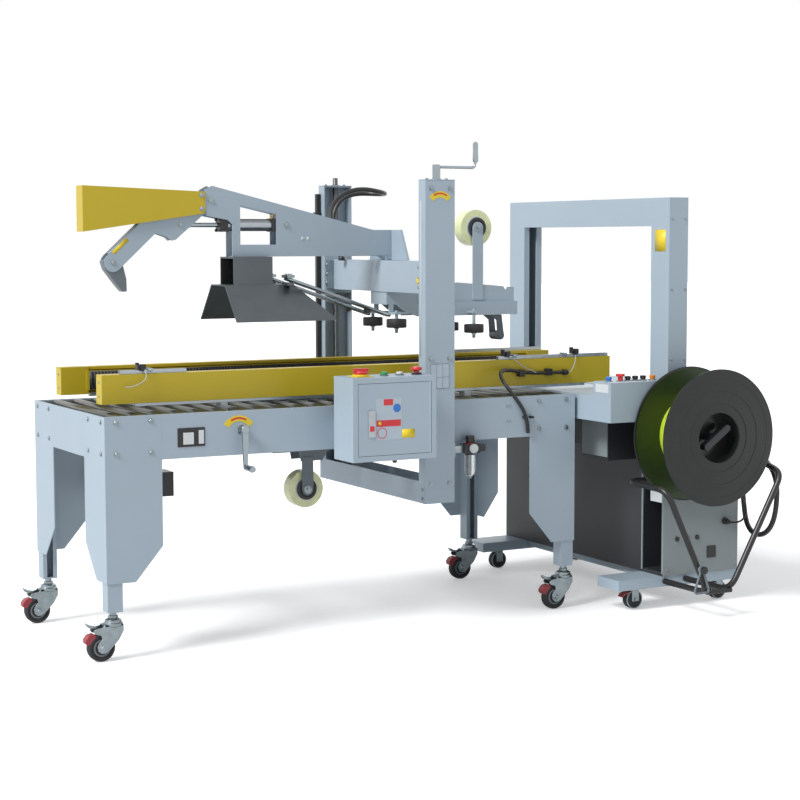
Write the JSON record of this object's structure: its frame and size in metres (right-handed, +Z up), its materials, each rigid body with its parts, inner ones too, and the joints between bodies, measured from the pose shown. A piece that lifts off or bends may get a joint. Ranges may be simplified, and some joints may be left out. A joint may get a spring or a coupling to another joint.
{
  "type": "carton sealing and strapping line",
  "caption": "Adjustable carton sealer on casters: side belts carry a box over rollers, a kicker and plough fold its flaps, tape seals top and bottom, then an arch straps it.",
  "frame": {"origin": "bottom centre of the whole line's bounding box, on the floor", "axes": "+X is the way a carton travels (the length), +Y points to the back (away from the operator), +Z up"},
  "size_m": [2.4578, 1.365, 1.662],
  "materials": {
    "machine_paint": "satin light blue-grey powder coat",
    "yellow_paint": "satin yellow powder coat",
    "dark_paint": "satin dark grey paint",
    "black_paint": "fine-textured black powder coat",
    "zinc": "zinc-plated steel",
    "chrome": "polished chrome",
    "black_screw": "oiled blackened steel",
    "aluminium": "clear anodised",
    "rollers": "bright plated rollers",
    "black_rubber": "matt black rubber",
    "tape": "clear packing tape wound on a core",
    "black_plastic": "moulded black plastic",
    "red_plastic": "moulded red plastic",
    "green_plastic": "moulded green plastic",
    "white_plastic": "moulded white plastic"
  },
  "bodies": {
    "frame": {"bed_frame": "machine_paint", "roller_bed": "rollers", "leg_front_left": "machine_paint", "leg_front_right": "machine_paint", "leg_back_left": "machine_paint", "leg_back_right": "machine_paint", "leg_tube_front_left": "machine_paint", "leg_tube_front_right": "machine_paint", "leg_tube_back_left": "machine_paint", "leg_tube_back_right": "machine_paint", "mast_front": "machine_paint", "mast_back": "machine_paint", "tie_channel": "machine_paint", "bottom_tape_head": "dark_paint", "control_box": "machine_paint", "drive_motor": "black_paint", "air_regulator": "black_plastic", "strapper_base": "machine_paint", "strapper_cabinet": "black_paint", "strapper_table": "machine_paint", "strapper_arch": "machine_paint", "reel_guard": "black_paint"},
    "head": {"cross_beam": "machine_paint", "boom": "machine_paint", "kicker_guard": "yellow_paint", "flap_plough": "dark_paint", "flap_rod_near": "chrome", "flap_rod_far": "chrome", "top_tape_head": "machine_paint"},
    "height_crank": {"height_crank": "chrome"},
    "lead_screw_back": {"lead_screw_back": "black_screw"},
    "kicker_arm": {"kicker_arm": "machine_paint"},
    "kicker_finger": {"kicker_finger": "dark_paint"},
    "kicker_cylinder": {"kicker_cylinder": "aluminium"},
    "kicker_rod": {"kicker_rod": "chrome"},
    "top_tape_roll": {"top_tape_roll": "tape"},
    "top_roller_arm": {"top_roller_arm": "dark_paint"},
    "press_roller_entry_near": {"press_roller_entry_near": "black_rubber"},
    "press_roller_entry_far": {"press_roller_entry_far": "black_rubber"},
    "press_roller_exit_near": {"press_roller_exit_near": "black_rubber"},
    "press_roller_exit_far": {"press_roller_exit_far": "black_rubber"},
    "width_crank": {"width_crank": "zinc"},
    "side_drive_near": {"side_drive_near": "yellow_paint"},
    "side_drive_far": {"side_drive_far": "yellow_paint"},
    "bottom_tape_roll": {"bottom_tape_roll": "tape"},
    "control_door": {"control_door": "machine_paint"},
    "main_switch": {"main_switch": "red_plastic"},
    "start_button": {"start_button": "green_plastic"},
    "stop_button": {"stop_button": "white_plastic"},
    "emergency_stop": {"emergency_stop": "red_plastic"},
    "strap_reel": {"strap_reel": "black_plastic"},
    "dancer_arm": {"dancer_arm": "black_paint"},
    "caster_fork_front_left": {"caster_fork_front_left": "zinc"},
    "caster_fork_front_right": {"caster_fork_front_right": "zinc"},
    "caster_fork_back_left": {"caster_fork_back_left": "zinc"},
    "caster_fork_back_right": {"caster_fork_back_right": "zinc"},
    "caster_wheel_front_left": {"caster_wheel_front_left": "black_rubber"},
    "caster_wheel_front_right": {"caster_wheel_front_right": "black_rubber"},
    "caster_wheel_back_left": {"caster_wheel_back_left": "black_rubber"},
    "caster_wheel_back_right": {"caster_wheel_back_right": "black_rubber"}
  },
  "joints": [
    {"name": "height_crank_turn", "type": "hinge", "parent": "frame", "child": "height_crank", "pos_m": [0.01085, -0.2643, 1.574], "axis": [0, 0, 1], "range_deg": [-5184, 8964]},
    {"name": "back_screw_turn", "type": "hinge", "parent": "frame", "child": "lead_screw_back", "pos_m": [0.01085, 0.5023, 1.574], "axis": [0, 0, 1], "range_deg": [-5220, 9000]},
    {"name": "head_lift", "type": "slide", "parent": "frame", "child": "head", "axis": [0, 0, 1], "range_m": [-0.145, 0.25]},
    {"name": "kicker_swing", "type": "hinge", "parent": "head", "child": "kicker_arm", "pos_m": [-0.66615, 0.119, 1.463], "axis": [0, 1, 0], "range_deg": [-20, 15]},
    {"name": "kicker_finger_swing", "type": "hinge", "parent": "kicker_arm", "child": "kicker_finger", "pos_m": [-1.01215, 0.119, 1.255], "axis": [0, 1, 0], "range_deg": [-25, 25], "stiffness_Nm_per_rad": 20},
    {"name": "kicker_cylinder_tilt", "type": "hinge", "parent": "head", "child": "kicker_cylinder", "pos_m": [-0.38315, 0.119, 1.38], "axis": [0, 1, 0], "range_deg": [-6, 5]},
    {"name": "kicker_rod_stroke", "type": "slide", "parent": "kicker_cylinder", "child": "kicker_rod", "axis": [1, 0, 0], "range_m": [-0.024, 0.032]},
    {"name": "top_tape_spin", "type": "hinge", "parent": "head", "child": "top_tape_roll", "pos_m": [0.37885, 0.1115, 1.372], "axis": [0, 1, 0], "continuous": true},
    {"name": "top_roller_swing", "type": "hinge", "parent": "head", "child": "top_roller_arm", "pos_m": [0.42985, 0.119, 1.08], "axis": [0, 1, 0], "range_deg": [-35, 0], "stiffness_Nm_per_rad": 5, "springref_deg": 8.59},
    {"name": "press_roller_entry_near_spin", "type": "hinge", "parent": "head", "child": "press_roller_entry_near", "pos_m": [0.01485, 0.029, 1.0335], "axis": [0, 0, 1], "continuous": true},
    {"name": "press_roller_entry_far_spin", "type": "hinge", "parent": "head", "child": "press_roller_entry_far", "pos_m": [0.01485, 0.209, 1.0335], "axis": [0, 0, 1], "continuous": true},
    {"name": "press_roller_exit_near_spin", "type": "hinge", "parent": "head", "child": "press_roller_exit_near", "pos_m": [0.33485, 0.029, 1.0075], "axis": [0, 0, 1], "continuous": true},
    {"name": "press_roller_exit_far_spin", "type": "hinge", "parent": "head", "child": "press_roller_exit_far", "pos_m": [0.33485, 0.209, 1.0075], "axis": [0, 0, 1], "continuous": true},
    {"name": "width_crank_turn", "type": "hinge", "parent": "frame", "child": "width_crank", "pos_m": [-0.70615, -0.281, 0.719], "axis": [0, 1, 0], "range_deg": [-1404, 3564]},
    {"name": "near_drive_slide", "type": "slide", "parent": "frame", "child": "side_drive_near", "axis": [0, -1, 0], "range_m": [-0.04, 0.1]},
    {"name": "far_drive_slide", "type": "slide", "parent": "frame", "child": "side_drive_far", "axis": [0, 1, 0], "range_m": [-0.04, 0.1]},
    {"name": "bottom_tape_spin", "type": "hinge", "parent": "frame", "child": "bottom_tape_roll", "pos_m": [-0.31615, 0.1115, 0.456], "axis": [0, 1, 0], "continuous": true},
    {"name": "control_door_swing", "type": "hinge", "parent": "frame", "child": "control_door", "pos_m": [-0.12265, -0.4565, 0.747], "axis": [0, 0, 1], "range_deg": [0, 110]},
    {"name": "main_switch_turn", "type": "hinge", "parent": "frame", "child": "main_switch", "pos_m": [-0.34615, -0.3925, 0.88], "axis": [0, 0, 1], "range_deg": [0, 90]},
    {"name": "start_button_press", "type": "slide", "parent": "frame", "child": "start_button", "axis": [0, 0, -1], "range_m": [0, 0.004], "stiffness_N_per_m": 300, "springref_m": -0.004},
    {"name": "stop_button_press", "type": "slide", "parent": "frame", "child": "stop_button", "axis": [0, 0, -1], "range_m": [0, 0.004], "stiffness_N_per_m": 300, "springref_m": -0.004},
    {"name": "emergency_stop_press", "type": "slide", "parent": "frame", "child": "emergency_stop", "axis": [0, 0, -1], "range_m": [0, 0.006], "stiffness_N_per_m": 500, "springref_m": -0.006},
    {"name": "strap_reel_spin", "type": "hinge", "parent": "frame", "child": "strap_reel", "pos_m": [0.94185, -0.54, 0.636], "axis": [0, 1, 0], "continuous": true},
    {"name": "dancer_swing", "type": "hinge", "parent": "frame", "child": "dancer_arm", "pos_m": [0.83885, -0.6725, 0.186], "axis": [0, 1, 0], "range_deg": [-30, 30]},
    {"name": "caster_front_left_swivel", "type": "hinge", "parent": "frame", "child": "caster_fork_front_left", "pos_m": [-1.14185, -0.2142, 0.14], "axis": [0, 0, 1], "continuous": true},
    {"name": "caster_front_left_roll", "type": "hinge", "parent": "caster_fork_front_left", "child": "caster_wheel_front_left", "pos_m": [-1.18385, -0.2142, 0.045], "axis": [0, 1, 0], "continuous": true},
    {"name": "caster_front_right_swivel", "type": "hinge", "parent": "frame", "child": "caster_fork_front_right", "pos_m": [0.56655, -0.2142, 0.14], "axis": [0, 0, 1], "continuous": true},
    {"name": "caster_front_right_roll", "type": "hinge", "parent": "caster_fork_front_right", "child": "caster_wheel_front_right", "pos_m": [0.52455, -0.2142, 0.045], "axis": [0, 1, 0], "continuous": true},
    {"name": "caster_back_left_swivel", "type": "hinge", "parent": "frame", "child": "caster_fork_back_left", "pos_m": [-1.14185, 0.4522, 0.14], "axis": [0, 0, 1], "continuous": true},
    {"name": "caster_back_left_roll", "type": "hinge", "parent": "caster_fork_back_left", "child": "caster_wheel_back_left", "pos_m": [-1.18385, 0.4522, 0.045], "axis": [0, 1, 0], "continuous": true},
    {"name": "caster_back_right_swivel", "type": "hinge", "parent": "frame", "child": "caster_fork_back_right", "pos_m": [0.56655, 0.4522, 0.14], "axis": [0, 0, 1], "continuous": true},
    {"name": "caster_back_right_roll", "type": "hinge", "parent": "caster_fork_back_right", "child": "caster_wheel_back_right", "pos_m": [0.52455, 0.4522, 0.045], "axis": [0, 1, 0], "continuous": true}
  ],
  "couplings": [
    {"joint": "back_screw_turn", "follows": "height_crank_turn", "ratio": 1},
    {"joint": "head_lift", "follows": "height_crank_turn", "m_per_rad": 0.0015915},
    {"joint": "kicker_cylinder_tilt", "follows": "kicker_swing", "ratio": 0.27},
    {"joint": "kicker_rod_stroke", "follows": "kicker_swing", "m_per_rad": -0.085},
    {"joint": "near_drive_slide", "follows": "width_crank_turn", "m_per_rad": 0.0015915},
    {"joint": "far_drive_slide", "follows": "width_crank_turn", "m_per_rad": 0.0015915}
  ]
}
